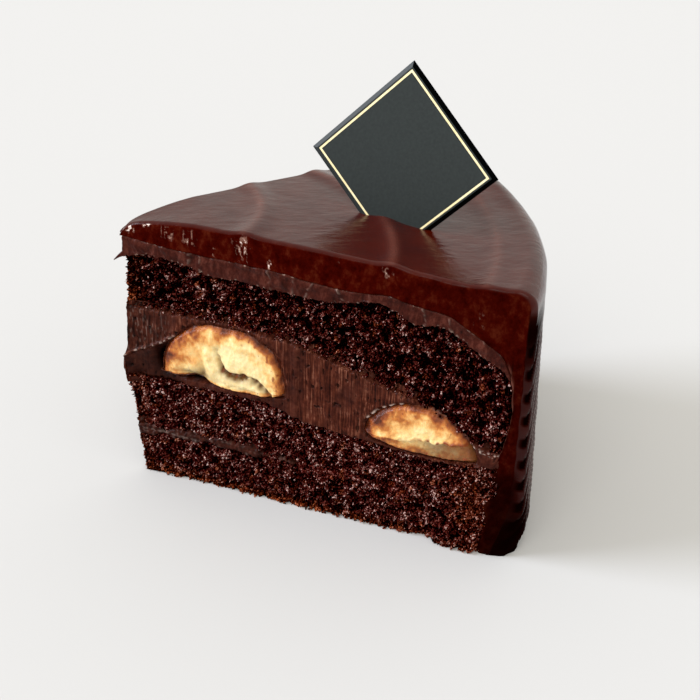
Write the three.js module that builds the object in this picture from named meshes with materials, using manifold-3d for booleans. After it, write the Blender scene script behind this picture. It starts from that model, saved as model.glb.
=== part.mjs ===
// A slice of chocolate banana cake, cut from a round 8 inch cake, standing on its base.
// Three sponge layers with fudge between them, two banana halves in the thick filling, a matt
// frosting, and a glossy ganache that covers the top and the combed outer side. A small square
// card stands on one corner in the top.
//
// Millimetres, +Z up. +X runs from the tip to the outer side along the middle of the slice, and
// the origin is the centre of the bounding box on the surface that the slice stands on.

import * as THREE from "three";
import { mergeVertices } from "three/addons/utils/BufferGeometryUtils.js";
import Module from "manifold-3d";

const wasm = await Module();
wasm.setup();

// Driving dimensions of the slice. Distances run from where the two cut faces would meet.
const RADIUS = 103.4; // to the outer face of the ganache
const SLICE_ANGLE = THREE.MathUtils.degToRad(56.5);
const TIP = { x: -52.12, y: 0.72 }; // where the two cut faces would meet
const OVAL = 0.03; // distances shrink by this share towards the back cut
const TIP_SETBACK = [[0, 2.6], [10, 2.2], [20, 1.3], [30, 0.8], [75, 0.8]]; // [height, blunt by]
const CORE_RADIUS = 98; // outer end of the layers inside the ganache
const CORE_SIDE = [[98, -2], [98, 26], [100.4, 34], [100.9, 40], [100.6, 45]]; // [distance, height]
const CORE_CROWN = 100; // where the ganache's inner face turns from its side to its top
const GAP = 0.3; // clearance between neighbouring pieces

// Heights of the surfaces between the layers, as [distance, height] stations
const THIN_FUDGE_FLOOR = [[0, 11.2], [40, 11.6], [100, 10.4]];
const THIN_FUDGE_TOP = [[0, 14.4], [24, 15.6], [60, 14.4], [100, 13]];
const FILLING_FLOOR = [[0, 28.6], [36, 29], [50, 25.4], [66, 24.6], [84, 23.2], [100, 25.6]];
const FILLING_TOP = [[0, 49], [42, 47.8], [56, 44.4], [68, 41], [76, 39], [92, 30], [100, 28.4]];
const SPONGE_TOP = [[0, 63], [50, 61.4], [76, 59.4], [90, 54.6], [96, 52.2], [101, 44]];
const GANACHE_FLOOR = [[0, 68.2], [42, 66], [80, 63.8], [88, 61.2], [97, 54.2], [101, 46]];
const GANACHE_TOP = [[0, 74.3], [30, 73.6], [50, 73.2], [76, 72], [90, 71.2], [RADIUS, 72.6]];

// Ganache: soft edges at the cuts, a drooping nose at the tip and rings left by the spatula
const SOFT_EDGE = 3; // how far in from a cut the edges are rounded
const EDGE_DROP = 1.4;
const CORNER_PULL = 1.3;
const NOSE_LENGTH = 21;
const NOSE_DROP = 3.9;
const NOSE_CURVE = 1.4; // exponent of the drop towards the tip
const RINGS = [
  { front: 33, back: 37.2, lift: 0.7 },
  { front: 70, back: 57.5, lift: 0.8 },
  { front: 92.2, back: 92, lift: 0.5 },
];
const RING_WIDTH = 3;
const SHOULDER = 4.6; // radius of the rounded rim

// Comb marks on the outer side, which climb from the front cut to the back cut
const SIDE_HEIGHT = 68;
const SIDE_FLARE = 1.9; // the side stands out by this much more at its foot
const COMB_PITCH = 6;
const COMB_DEPTH = 0.9;
const COMB_CLIMB = 66;
const COMB_BEND = 0.5; // the marks climb steeply at the front cut and less at the back
const COMB_FADE = [54, 66]; // heights over which the marks run out below the rim

// Matt frosting, which runs out over the shoulder of the top sponge
const FROSTING_RADIUS = 97;

// Banana halves, flat side down, laid in rings round the middle of the cake. The fullness is the
// exponent of the outline's curve, where 2 is an ellipse.
const BANANAS = [
  {
    name: "banana_inner",
    ring: 27.9,
    drift: 1.6,
    width: 33.2,
    base: 32.2,
    rise: 15.8,
    sink: 1.4,
    fullness: { inward: 2, outward: 2.8 },
  },
  {
    name: "banana_outer",
    ring: 77.4,
    drift: -1.2,
    width: 28,
    base: 27.4,
    rise: 10.4,
    sink: 3,
    fullness: { inward: 1.9, outward: 2 },
  },
];
const FUDGE_OVER_BANANA = 0.7;

// Card: a square that stands on one corner, leaning back from the front cut
const CARD_SIDE = 33.9;
const CARD_THICKNESS = 0.8;
const CARD_CENTRE = { along: 62.2, depth: 27.1, height: 86.8 }; // along and behind the front cut
const CARD_TURN = THREE.MathUtils.degToRad(-4);
const CARD_LEAN = THREE.MathUtils.degToRad(10);

// Mesh sizes
const STEPS_ALONG = 28;
const STEPS_ACROSS = 5;
const STEPS_PER_MARK = 3;
const CRUMB_RELIEF = 0.7;

// A repeatable number from 0 to 1 for a whole-numbered point
function hash(x, y, z) {
  const n = Math.sin(x * 127.1 + y * 311.7 + z * 74.7) * 43758.5453;
  return n - Math.floor(n);
}

// Smooth noise from -1 to 1
function noise(x, y, z) {
  const cell = [x, y, z].map(Math.floor);
  const part = [x, y, z].map((value, i) => THREE.MathUtils.smoothstep(value - cell[i], 0, 1));
  let sum = 0;
  for (let corner = 0; corner < 8; corner++) {
    const step = [corner & 1, (corner >> 1) & 1, corner >> 2];
    const weight = step.reduce((w, s, i) => w * (s ? part[i] : 1 - part[i]), 1);
    sum += weight * hash(cell[0] + step[0], cell[1] + step[1], cell[2] + step[2]);
  }
  return 2 * sum - 1;
}

// A smooth height through a few [distance, height] stations
function along(stations, r) {
  const last = stations.length - 1;
  if (r <= stations[0][0]) return stations[0][1];
  if (r >= stations[last][0]) return stations[last][1];
  const i = Math.max(0, stations.findIndex(([at]) => at > r) - 1);
  const slope = (k) => {
    const [a, b] = [stations[Math.max(0, k - 1)], stations[Math.min(last, k + 1)]];
    return (b[1] - a[1]) / (b[0] - a[0]);
  };
  const [[r0, z0], [r1, z1]] = [stations[i], stations[i + 1]];
  const span = r1 - r0;
  const t = (r - r0) / span;
  return (
    z0 * (2 * t ** 3 - 3 * t ** 2 + 1) +
    slope(i) * span * (t ** 3 - 2 * t ** 2 + t) +
    z1 * (3 * t ** 2 - 2 * t ** 3) +
    slope(i + 1) * span * (t ** 3 - t ** 2)
  );
}

// A point of the slice: distance from the tip, turn from -1 at the front cut to 1 at the back cut,
// height, and how far it stands out of the cut face
function slicePoint(r, turn, z, proud = 0) {
  const angle = (turn * SLICE_ANGLE) / 2;
  const side = Math.sign(turn);
  const reach = r * (1 - (OVAL * (turn + 1)) / 2);
  return [
    TIP.x + reach * Math.cos(angle) - proud * side * Math.sin(angle),
    TIP.y + reach * Math.sin(angle) + proud * side * Math.cos(angle),
    z,
  ];
}

// A slow unevenness that all the layers share
const wander = (r, turn) => 0.7 * noise(r / 22, turn * 1.6, 3.3);

// Upper outline of a banana half at a place in the slice, or nothing beside it
function bananaTop(banana, r, turn) {
  const across = (2 * (r - banana.ring - banana.drift * turn)) / banana.width;
  if (Math.abs(across) >= 1) return -Infinity;
  const { inward, outward } = banana.fullness;
  const power = across < 0 ? inward : outward;
  return banana.base + banana.rise * (1 - Math.abs(across) ** power) ** (1 / power);
}

const fillingTop = (r, turn) =>
  Math.max(
    along(FILLING_TOP, r) + wander(r, turn),
    ...BANANAS.map((banana) => bananaTop(banana, r, turn) + FUDGE_OVER_BANANA + GAP),
  );
const fillingFloor = (r, turn) => along(FILLING_FLOOR, r) + wander(r, turn + 2);
const thinFudgeTop = (r, turn) => along(THIN_FUDGE_TOP, r) + wander(r, turn + 4);
const thinFudgeFloor = (r, turn) => along(THIN_FUDGE_FLOOR, r) + wander(r, turn + 6);
const spongeTop = (r, turn) => along(SPONGE_TOP, r) + wander(r, turn + 8) / 2;
const ganacheFloor = (r, turn) => along(GANACHE_FLOOR, r) + wander(r, turn + 10) / 2;
const base = () => 0;

// Share of the rounding at the cut edges of the ganache: 1 on a cut, 0 further in
function edgeShare(r, turn) {
  const inside = (1 - Math.abs(turn)) * (SLICE_ANGLE / 2) * r;
  return Math.max(0, 1 - inside / SOFT_EDGE) ** 2;
}

const ringRadius = (ring, turn) => THREE.MathUtils.lerp(ring.front, ring.back, (turn + 1) / 2);

// The glossy top: rings left by the spatula, a nose at the tip and soft edges at both cuts
function ganacheTop(r, turn) {
  const rings = RINGS.reduce((sum, ring) => {
    const off = (r - ringRadius(ring, turn)) / RING_WIDTH;
    return sum + ring.lift * Math.exp(-off * off);
  }, 0);
  const nose = r < NOSE_LENGTH ? NOSE_DROP * (1 - r / NOSE_LENGTH) ** NOSE_CURVE : 0;
  return along(GANACHE_TOP, r) + rings - nose - EDGE_DROP * edgeShare(r, turn);
}

// How far the comb marks have climbed at a share of the way round, and the share from a climb
const combClimb = (share) => COMB_CLIMB * share * (1 + COMB_BEND * (1 - share));
const combShare = (climb) => {
  const half = (1 + COMB_BEND) / (2 * COMB_BEND);
  return half - Math.sqrt(half ** 2 - climb / (COMB_CLIMB * COMB_BEND));
};

// The combed outer side: sharp crests with hollows between them
function ganacheSide(z, turn) {
  const climbed = z - combClimb((turn + 1) / 2);
  const hollow = 1 - Math.abs(Math.cos((Math.PI * climbed) / COMB_PITCH));
  const fade = 1 - THREE.MathUtils.smoothstep(z, ...COMB_FADE);
  const flare = SIDE_FLARE * (1 - z / SIDE_HEIGHT);
  const corner = (CORNER_PULL + flare) * edgeShare(RADIUS, turn);
  return RADIUS + flare - COMB_DEPTH * hollow * fade - corner;
}

// How far a cut face of crumb stands in or out. It fades at the tip, where both faces meet.
function crumb(r, z, side) {
  const fade = THREE.MathUtils.smoothstep(r, 4, 14);
  const coarse = noise(r / 5.5, z / 4.5, side * 7 + 20);
  const fine = 2 * hash(Math.round(r * 8), Math.round(z * 8), side) - 1;
  return fade * CRUMB_RELIEF * (0.55 * coarse + 0.45 * fine);
}

// Vertical drag marks that the knife leaves on a cut face of fudge
const dragMarks = (r, z, side) =>
  THREE.MathUtils.smoothstep(r, 4, 14) * 0.3 * noise(r / 2.4, z / 30, side * 5 + 40);

// Builds geometry from shared corners and the triangles between them
function geometryOf(corners, triangles) {
  const geometry = new THREE.BufferGeometry();
  geometry.setAttribute("position", new THREE.Float32BufferAttribute(corners.flat(), 3));
  geometry.setIndex(triangles.flat());
  return geometry;
}

// A block of steps [along, across, up] whose corners are placed by a function of three shares
function block([nu, nv, nw], place) {
  const corners = [];
  const triangles = [];
  const known = new Map();
  const corner = (i, j, k) => {
    const key = `${i},${j},${k}`;
    if (!known.has(key)) known.set(key, corners.push(place(i / nu, j / nv, k / nw)) - 1);
    return known.get(key);
  };
  const face = (na, nb, at) => {
    for (let a = 0; a < na; a++)
      for (let b = 0; b < nb; b++) {
        const [p, q, s, t] = [at(a, b), at(a + 1, b), at(a + 1, b + 1), at(a, b + 1)];
        triangles.push([p, q, s], [p, s, t]);
      }
  };
  face(nu, nv, (a, b) => corner(a, b, nw));
  face(nv, nu, (a, b) => corner(b, a, 0));
  face(nv, nw, (a, b) => corner(nu, a, b));
  face(nw, nv, (a, b) => corner(0, b, a));
  face(nw, nu, (a, b) => corner(b, nv, a));
  face(nu, nw, (a, b) => corner(a, 0, b));
  return geometryOf(corners, triangles);
}

// One layer of the slice, from a floor to a top, with its own relief on the cut faces. A layer
// that serves to cut its neighbour is grown: it runs on past the tip and both cut faces.
function layer({ floor, top, stepsUp, relief, outer = () => CORE_RADIUS, proud = 0, grow = 0 }) {
  const pastFaces = 10 * grow;
  return block([STEPS_ALONG, STEPS_ACROSS, stepsUp], (u, v, w) => {
    const turn = 2 * v - 1;
    const tip = along(TIP_SETBACK, THREE.MathUtils.lerp(floor(0, turn), top(0, turn), w));
    const r = THREE.MathUtils.lerp(tip - grow, outer(w) + grow, u);
    const low = floor(r, turn);
    const z = low + (top(r, turn) - low) * w;
    const out = Math.abs(turn) === 1 ? relief(r, z, turn) + proud + pastFaces : 0;
    return slicePoint(r, turn, z, out);
  });
}

// A closed outline of [distance, height] points, carried round the slice over a list of turns
function sweep(count, turns, outline) {
  const corners = turns.flatMap((turn) =>
    Array.from({ length: count }, (_, k) => {
      const [r, z] = outline(k, turn);
      return slicePoint(r, turn, z);
    }),
  );
  const triangles = [];
  for (let j = 0; j + 1 < turns.length; j++)
    for (let k = 0; k < count; k++) {
      const [a, b] = [j * count + k, j * count + ((k + 1) % count)];
      triangles.push([a, a + count, b + count], [a, b + count, b]);
    }
  const end = (j, flip) => {
    const ring = Array.from({ length: count }, (_, k) => new THREE.Vector2(...outline(k, turns[j])));
    for (const [a, b, c] of THREE.ShapeUtils.triangulateShape(ring, [])) {
      const face = [a, b, c].map((k) => j * count + k);
      triangles.push(flip ? face.reverse() : face);
    }
  };
  end(0, false);
  end(turns.length - 1, true);
  return geometryOf(corners, triangles);
}

// Solids that can be cut, and their way back to geometry
function toSolid(geometry) {
  const merged = mergeVertices(geometry, 1e-4);
  return new wasm.Manifold(
    new wasm.Mesh({
      numProp: 3,
      vertProperties: new Float32Array(merged.attributes.position.array),
      triVerts: new Uint32Array(merged.index.array),
    }),
  );
}

function fromSolid(solid) {
  const mesh = solid.getMesh();
  const geometry = new THREE.BufferGeometry();
  geometry.setAttribute("position", new THREE.BufferAttribute(mesh.vertProperties, 3));
  geometry.setIndex(new THREE.BufferAttribute(mesh.triVerts, 1));
  return geometry;
}

const evenTurns = (count, reach = 1) =>
  Array.from({ length: count + 1 }, (_, j) => reach * ((2 * j) / count - 1));

// A banana half: a domed upper side and a nearly flat lower one, grown by a clearance
function bananaSolid(banana, grow, reach, turnCount = 8) {
  const corners = 22;
  const bend = (value, power) => Math.sign(value) * Math.abs(value) ** (2 / power);
  const geometry = sweep(corners, evenTurns(turnCount, reach), (k, turn) => {
    const angle = (2 * Math.PI * k) / corners;
    const [across, up] = [Math.cos(angle), Math.sin(angle)];
    const power = across < 0 ? banana.fullness.inward : banana.fullness.outward;
    return [
      banana.ring + banana.drift * turn + (banana.width / 2 + grow) * bend(across, power),
      banana.base + ((up > 0 ? banana.rise : banana.sink) + grow) * bend(up, power),
    ];
  });
  return toSolid(geometry);
}

// The card as a thin square on its corner, grown by a clearance for its slot
function cardGeometry(grow = 0) {
  const side = CARD_SIDE + 2 * grow;
  const geometry = new THREE.BoxGeometry(side, CARD_THICKNESS + 2 * grow, side);
  const pose = new THREE.Matrix4().makeRotationZ(CARD_TURN - SLICE_ANGLE / 2);
  pose.multiply(new THREE.Matrix4().makeRotationX(-CARD_LEAN));
  pose.multiply(new THREE.Matrix4().makeRotationY(Math.PI / 4));
  const angle = Math.atan2(CARD_CENTRE.depth, CARD_CENTRE.along) - SLICE_ANGLE / 2;
  const r = Math.hypot(CARD_CENTRE.along, CARD_CENTRE.depth);
  pose.setPosition(TIP.x + r * Math.cos(angle), TIP.y + r * Math.sin(angle), CARD_CENTRE.height);
  geometry.applyMatrix4(pose);
  geometry.deleteAttribute("normal");
  geometry.deleteAttribute("uv");
  return geometry;
}

// Lines of the ganache's top from the rim to the tip. They follow the rings, so that each ring
// has its crest and its two feet on a line.
function topLines() {
  const line = (front, back = front) => ({ front, back });
  const nose = [0.15, 0.4, 0.7, 1].map((share) => line(share * NOSE_LENGTH));
  const lines = [line(along(TIP_SETBACK, 75)), ...nose];
  for (const [i, ring] of RINGS.entries()) {
    for (const off of [-2, -0.8, 0, 0.8, 2])
      lines.push(line(ring.front + off * RING_WIDTH, ring.back + off * RING_WIDTH));
    if (i === 0) lines.push(line(52, 47.5));
  }
  return lines.filter(({ front }) => front < RADIUS - SHOULDER - 1).reverse();
}

// The turns at which the ganache is laid out: one to each step of the comb marks, and closer
// together at the rounded edges
function ganacheTurns() {
  const step = COMB_PITCH / STEPS_PER_MARK;
  const edges = [1, 1 - (SOFT_EDGE * 0.4) / (RADIUS * (SLICE_ANGLE / 2))];
  const turns = Array.from(
    { length: Math.floor(COMB_CLIMB / step) },
    (_, j) => 2 * combShare((j + 0.5) * step) - 1,
  );
  const inner = turns.filter((turn) => Math.abs(turn) < edges[1] - 0.02);
  return [...edges.map((turn) => -turn), ...inner, ...edges.reverse()];
}

// The ganache's outer form: up the combed side, over the shoulder and along the top to the tip
function ganacheForm() {
  const sideSteps = (SIDE_HEIGHT * STEPS_PER_MARK) / COMB_PITCH;
  const shoulderSteps = 4;
  const lines = topLines();
  const count = 1 + sideSteps + 1 + shoulderSteps + lines.length;
  const rim = RADIUS - SHOULDER;
  const outline = (k, turn) => {
    if (k === 0) return [along(TIP_SETBACK, 75), 0];
    if (k <= sideSteps + 1) {
      const z = (SIDE_HEIGHT * (k - 1)) / sideSteps;
      return [ganacheSide(z, turn), z];
    }
    const corner = ((k - sideSteps - 1) / shoulderSteps) * (Math.PI / 2);
    if (corner < Math.PI / 2 + 0.01) {
      const top = ganacheTop(rim, turn);
      return [
        THREE.MathUtils.lerp(rim, ganacheSide(SIDE_HEIGHT, turn), Math.cos(corner)),
        THREE.MathUtils.lerp(SIDE_HEIGHT, top, Math.sin(corner)),
      ];
    }
    const { front, back } = lines[k - sideSteps - 2 - shoulderSteps];
    const r = THREE.MathUtils.lerp(front, back, (turn + 1) / 2);
    return [r, ganacheTop(r, turn)];
  };
  return toSolid(sweep(count, ganacheTurns(), outline));
}

// Everything inside the ganache as one form, grown by a clearance and carried past both cut faces
// and below the base
function coreForm(grow) {
  const wide = 1.2;
  const topSteps = 13;
  const count = 1 + CORE_SIDE.length + topSteps + 1;
  const outline = (k, turn) => {
    if (k === 0) return [0.2, -2];
    if (k <= CORE_SIDE.length) return [CORE_SIDE[k - 1][0] + grow, CORE_SIDE[k - 1][1]];
    const r = THREE.MathUtils.lerp(CORE_CROWN, 0.2, (k - CORE_SIDE.length - 1) / topSteps);
    return [r, ganacheFloor(r, turn) - GAP + grow];
  };
  return toSolid(sweep(count, evenTurns(8, wide), outline));
}

// Bulge of the top sponge's outer side between its foot and its shoulder
const spongeBulge = (w) => CORE_RADIUS + 2.2 * Math.sin(Math.PI * Math.min(1, w * 0.8));

const cardSlot = toSolid(cardGeometry(GAP));
const lowered = (surface) => (r, turn) => surface(r, turn) - GAP;

// What is left of a layer that the bananas lie in or press into
const aroundBananas = (geometry) =>
  BANANAS.reduce(
    (left, banana) => left.subtract(bananaSolid(banana, GAP, 1.3)),
    toSolid(geometry),
  );

const topSponge = (grow) =>
  layer({
    floor: fillingTop,
    top: (r, turn) => spongeTop(r - grow, turn) - GAP + grow,
    stepsUp: 6,
    relief: crumb,
    outer: spongeBulge,
    grow,
  });

// The frosting fills the room between the top sponge and the ganache
const frostingSolid = () =>
  toSolid(
    layer({
      floor: (r, turn) => spongeTop(r, turn) - 2,
      top: (r, turn) => ganacheFloor(r, turn) + 3,
      stepsUp: 3,
      relief: dragMarks,
      outer: () => FROSTING_RADIUS,
      proud: 0.4,
    }),
  )
    .intersect(coreForm(0))
    .subtract(toSolid(topSponge(GAP)))
    .subtract(cardSlot);

const MATERIALS = {
  sponge: { color: 0x2a120c, roughness: 0.9 },
  fudge: { color: 0x40251d, roughness: 0.6 },
  frosting: { color: 0x50302a, roughness: 0.55 },
  ganache: { color: 0x2e0b06, roughness: 0.15 },
  banana: { color: 0xf0cf86, roughness: 0.5 },
  card: { color: 0x1c2224, roughness: 0.6 },
};

const slice = new THREE.Group();

function addPiece(name, material, geometry) {
  const mesh = new THREE.Mesh(geometry, new THREE.MeshStandardMaterial(MATERIALS[material]));
  mesh.name = name;
  slice.add(mesh);
}

addPiece(
  "sponge_bottom",
  "sponge",
  layer({ floor: base, top: lowered(thinFudgeFloor), stepsUp: 4, relief: crumb }),
);
addPiece(
  "fudge_thin",
  "fudge",
  layer({ floor: thinFudgeFloor, top: lowered(thinFudgeTop), stepsUp: 1, relief: dragMarks }),
);
addPiece(
  "sponge_middle",
  "sponge",
  fromSolid(
    aroundBananas(
      layer({ floor: thinFudgeTop, top: lowered(fillingFloor), stepsUp: 5, relief: crumb }),
    ),
  ),
);
addPiece(
  "fudge_filling",
  "fudge",
  fromSolid(
    aroundBananas(
      layer({ floor: fillingFloor, top: lowered(fillingTop), stepsUp: 4, relief: dragMarks }),
    ),
  ),
);
addPiece("sponge_top", "sponge", fromSolid(aroundBananas(topSponge(0))));
addPiece("frosting", "frosting", fromSolid(frostingSolid()));
addPiece(
  "ganache",
  "ganache",
  fromSolid(ganacheForm().subtract(coreForm(GAP)).subtract(cardSlot)),
);
for (const banana of BANANAS)
  addPiece(banana.name, "banana", fromSolid(bananaSolid(banana, 0, 1)));
addPiece("card", "card", cardGeometry());

export default slice;
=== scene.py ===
import bmesh
import bpy
import math
import random
from mathutils import Euler, Matrix, Vector, noise


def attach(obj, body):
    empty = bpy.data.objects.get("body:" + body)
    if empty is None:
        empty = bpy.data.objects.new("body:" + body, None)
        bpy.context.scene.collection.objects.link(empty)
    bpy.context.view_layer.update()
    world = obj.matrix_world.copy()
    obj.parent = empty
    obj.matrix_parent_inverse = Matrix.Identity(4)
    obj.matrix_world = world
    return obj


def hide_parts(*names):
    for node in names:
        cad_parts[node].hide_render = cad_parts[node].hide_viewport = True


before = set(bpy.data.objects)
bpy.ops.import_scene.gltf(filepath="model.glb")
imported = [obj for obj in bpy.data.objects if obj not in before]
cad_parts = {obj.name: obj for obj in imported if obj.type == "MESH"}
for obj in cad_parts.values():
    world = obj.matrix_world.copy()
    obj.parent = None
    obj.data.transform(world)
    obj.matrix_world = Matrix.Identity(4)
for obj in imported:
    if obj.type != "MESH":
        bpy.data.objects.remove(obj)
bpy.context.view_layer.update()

MM = 0.001

NOISE_SEED = 11
noise.seed_set(NOISE_SEED)  # noise_vector is otherwise seeded by the clock

# The slice's layout. Distances run in millimetres from where the two cut faces would meet, and a
# turn runs from -1 at the front cut to 1 at the back cut.
SLICE_ANGLE = math.radians(56.5)
TIP = Vector((-52.12, 0.72))
BLUNT_TIP = 1.5  # the slice's tip is as wide as it would be this far out
BLUNT_SLOPE = 0.55  # half the blunt tip's width to its length
RADIUS = 103.4  # of the rim
CORE_RADIUS = 98.2  # of the sponge and the fudge
CORE_BULGE = 2.4  # how far the highest sponge swells beyond it
FROSTING_RADIUS = 99
OVAL = 0.03  # share by which the back cut is shorter than the front cut
WANDER = 0.6  # slow unevenness of the layers, and the length of its waves
WANDER_LENGTH = 22
AT_CUT = 0.999  # turns beyond this lie on a cut face
CRUMB_CELL = 0.22  # size of the facets on the cut faces of the crumb
THIN_EDGES = (41, 42)  # seeds of the ragged lower and upper edges of the fudge layers
FILLING_EDGES = (43, 44)

# Ganache: its soft edges, the nose at the tip, the rings on its top and the comb marks on its side
SOFT_EDGE = 1.0
EDGE_DROP = 0.5
CORNER_PULL = 1.3  # how far the side draws in at its corners
NOSE_LENGTH = 21
NOSE_DROP = 3.0
NOSE_TIP = 2.6  # further drop at the very tip
REAR_LIFT = 1.1  # rise of the rim towards the back cut
RINGS = [(33, 37.2, 0.7), (70, 57.5, 0.8), (92.2, 92, 0.5)]  # place at each cut, and height
RING_WIDTH = 3
SHOULDER = 4.6
SIDE_HEIGHT = 68
SIDE_FLARE = 1.9
COMB_PITCH = 6
COMB_DEPTH = 0.9
COMB_CLIMB = 66
COMB_BEND = 0.5  # the marks climb steeply at the front cut and less at the back
COMB_FADE = (54, 66)  # heights over which the marks run out below the rim
FOOT_TAPER = 4.3  # how far the side draws in at its foot beside the front cut
FOOT_TAPER_HEIGHT = 15
FOOT_TUCK = 1.3  # how far it draws in all round its foot
FOOT_TUCK_HEIGHT = 6

# Marks on the front cut, as (distance, height) points
FILLING_FOLD = [(-2, 34.6), (3.2, 37.2), (5.3, 38.1), (9.1, 40), (13.8, 43.3)]
FILLING_HOLLOW = (9.4, 34.6)
BANANA_GROOVE = [(24.9, 41.5), (25.6, 38.7), (26.6, 36.3), (28.6, 35.2), (34.5, 35.2), (39.4, 32)]
BANANA_STRAND = [(22.2, 40), (23.4, 35.8), (24.8, 34), (29, 33.3), (35, 33), (40, 31.8)]
BANANA_SCORE = [(64.8, 26.9), (71.5, 27.6), (77.5, 28.9), (85, 29.4), (89.6, 30.4)]
BANANA_SEEDS = [(26.4, 35.7), (28.2, 35.3), (30, 35), (31.8, 35.3)]
BANANA_DENT = 19  # distance of the hollow in the larger half's flat side


# Shape helpers


def mix(a, b, share):
    return a + (b - a) * share


def clamp(value, low=0.0, high=1.0):
    return min(high, max(low, value))


def smoothstep(value, low, high):
    share = clamp((value - low) / (high - low))
    return share * share * (3 - 2 * share)


def hill(offset, width):
    return math.exp(-((offset / width) ** 2))


def soft(x, y, z=0.0):
    return noise.noise(Vector((x, y, z)))


class Profile:
    """A smooth height through (distance, height) stations, sampled once along the slice."""

    STEP = 0.5

    def __init__(self, stations):
        self.first = stations[0][0]
        count = int((stations[-1][0] - self.first) / self.STEP) + 1
        self.samples = [self.curve(stations, self.first + k * self.STEP) for k in range(count)]
        self.samples += [stations[-1][1]] * 2

    @staticmethod
    def curve(stations, r):
        def slope(k):
            a, b = stations[max(0, k - 1)], stations[min(len(stations) - 1, k + 1)]
            return (b[1] - a[1]) / (b[0] - a[0])

        i = max(k for k, station in enumerate(stations[:-1]) if station[0] <= r)
        (r0, z0), (r1, z1) = stations[i], stations[i + 1]
        span = r1 - r0
        t = (r - r0) / span
        return (
            z0 * (2 * t**3 - 3 * t**2 + 1)
            + slope(i) * span * (t**3 - 2 * t**2 + t)
            + z1 * (3 * t**2 - 2 * t**3)
            + slope(i + 1) * span * (t**3 - t**2)
        )

    def __call__(self, r):
        place = max(0.0, (r - self.first) / self.STEP)
        k = min(int(place), len(self.samples) - 2)
        return mix(self.samples[k], self.samples[k + 1], min(1.0, place - k))


# How far the tip of the layers is set back at each height, and the heights of the surfaces between
# the layers at each distance
TIP_SETBACK = Profile(
    [(0, 2.3), (8, 1.7), (12, 1.4), (16, 1.0), (24, 0.2), (30, -0.9), (34, -1.1), (38, 0.2), (75, 0.8)]
)
THIN_FUDGE_FLOOR = Profile([(0, 11.2), (40, 11.6), (100, 10.4)])
THIN_FUDGE_TOP = Profile([(0, 14.4), (24, 15.6), (60, 14.4), (100, 13)])
FILLING_FLOOR = Profile([(0, 28.6), (36, 29), (50, 25.4), (66, 24.6), (84, 23.2), (100, 25.6)])
FILLING_TOP = Profile([(0, 49), (42, 47.8), (56, 44.4), (68, 41), (76, 39), (92, 30), (100, 28.4)])
SPONGE_TOP = Profile([(0, 63), (50, 61.4), (76, 59.4), (90, 54.6), (96, 52.2), (101, 44)])
FROSTING_EDGE = Profile(
    [
        (0, 62.2), (7.8, 63.6), (17.2, 62.9), (23.6, 61.2), (32.8, 61.2), (40.8, 60.6), (50.4, 60.4),
        (58, 60.8), (66, 62.5), (70.7, 61.6), (76, 58.9), (82, 59.6), (88, 56.9), (93, 53.6),
        (96.1, 52.2), (99.5, 49),
    ]
)
GANACHE_FLOOR = Profile(
    [
        (0, 68.2), (7, 67.2), (20, 66.6), (40, 66.1), (50, 65), (57, 64.4), (64, 64.7), (69.5, 65.2),
        (75, 64.2), (84, 63), (89, 60.2), (95, 56.6), (97, 54.6), (101, 46),
    ]
)
THIN_STREAK = Profile([(0, 13.4), (14, 13.2), (30, 12.4), (60, 12)])
GANACHE_TOP = Profile([(0, 74.3), (30, 73.6), (50, 73.2), (76, 72), (90, 71.2), (RADIUS, 72.6)])


def off_trail(r, z, trail):
    """The distance from a trail of points, and how far above it the place lies."""
    best, above = 1e9, 0.0
    for (r0, z0), (r1, z1) in zip(trail, trail[1:]):
        dr, dz = r1 - r0, z1 - z0
        t = clamp(((r - r0) * dr + (z - z0) * dz) / (dr * dr + dz * dz))
        gap_r, gap_z = r - r0 - t * dr, z - z0 - t * dz
        gap = math.hypot(gap_r, gap_z)
        if gap < best:
            best, above = gap, (dr * gap_z - dz * gap_r) / math.hypot(dr, dz)
    return best, above


def slice_point(r, turn, z, proud=0.0):
    """A point of the slice in metres, standing out of the nearer cut face by proud."""
    angle = turn * SLICE_ANGLE / 2
    reach = r * (1 - OVAL * (turn + 1) / 2)
    side = (proud if turn > 0 else -proud) + BLUNT_SLOPE * turn * max(0.0, BLUNT_TIP - r)
    x = TIP.x + reach * math.cos(angle) - side * math.sin(angle)
    y = TIP.y + reach * math.sin(angle) + side * math.cos(angle)
    return Vector((x, y, z)) * MM


def at_cut(turn):
    return abs(turn) > AT_CUT


def wander(r, turn, layer):
    """The slow unevenness of a layer's surface."""
    return WANDER * soft(r / WANDER_LENGTH, turn * 1.6, layer)


def filling_top(r, turn):
    return FILLING_TOP(r) + wander(r, turn, 1)


def filling_floor(r, turn):
    return FILLING_FLOOR(r) + wander(r, turn, 2)


def thin_fudge_top(r, turn):
    return THIN_FUDGE_TOP(r) + wander(r, turn, 3)


def thin_fudge_floor(r, turn):
    return THIN_FUDGE_FLOOR(r) + wander(r, turn, 4)


def sponge_top(r, turn):
    return SPONGE_TOP(r) + wander(r, turn, 5) / 2


def ganache_floor(r, turn):
    return GANACHE_FLOOR(r) + wander(r, turn, 6) / 2


def table_height(r, turn):
    return 0.0


def edge_share(r, turn):
    """Share by which the ganache's edge is rounded off: 1 on a cut, 0 away from it."""
    inside = (1 - abs(turn)) * (SLICE_ANGLE / 2) * r
    return max(0.0, 1 - inside / SOFT_EDGE) ** 2


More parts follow.
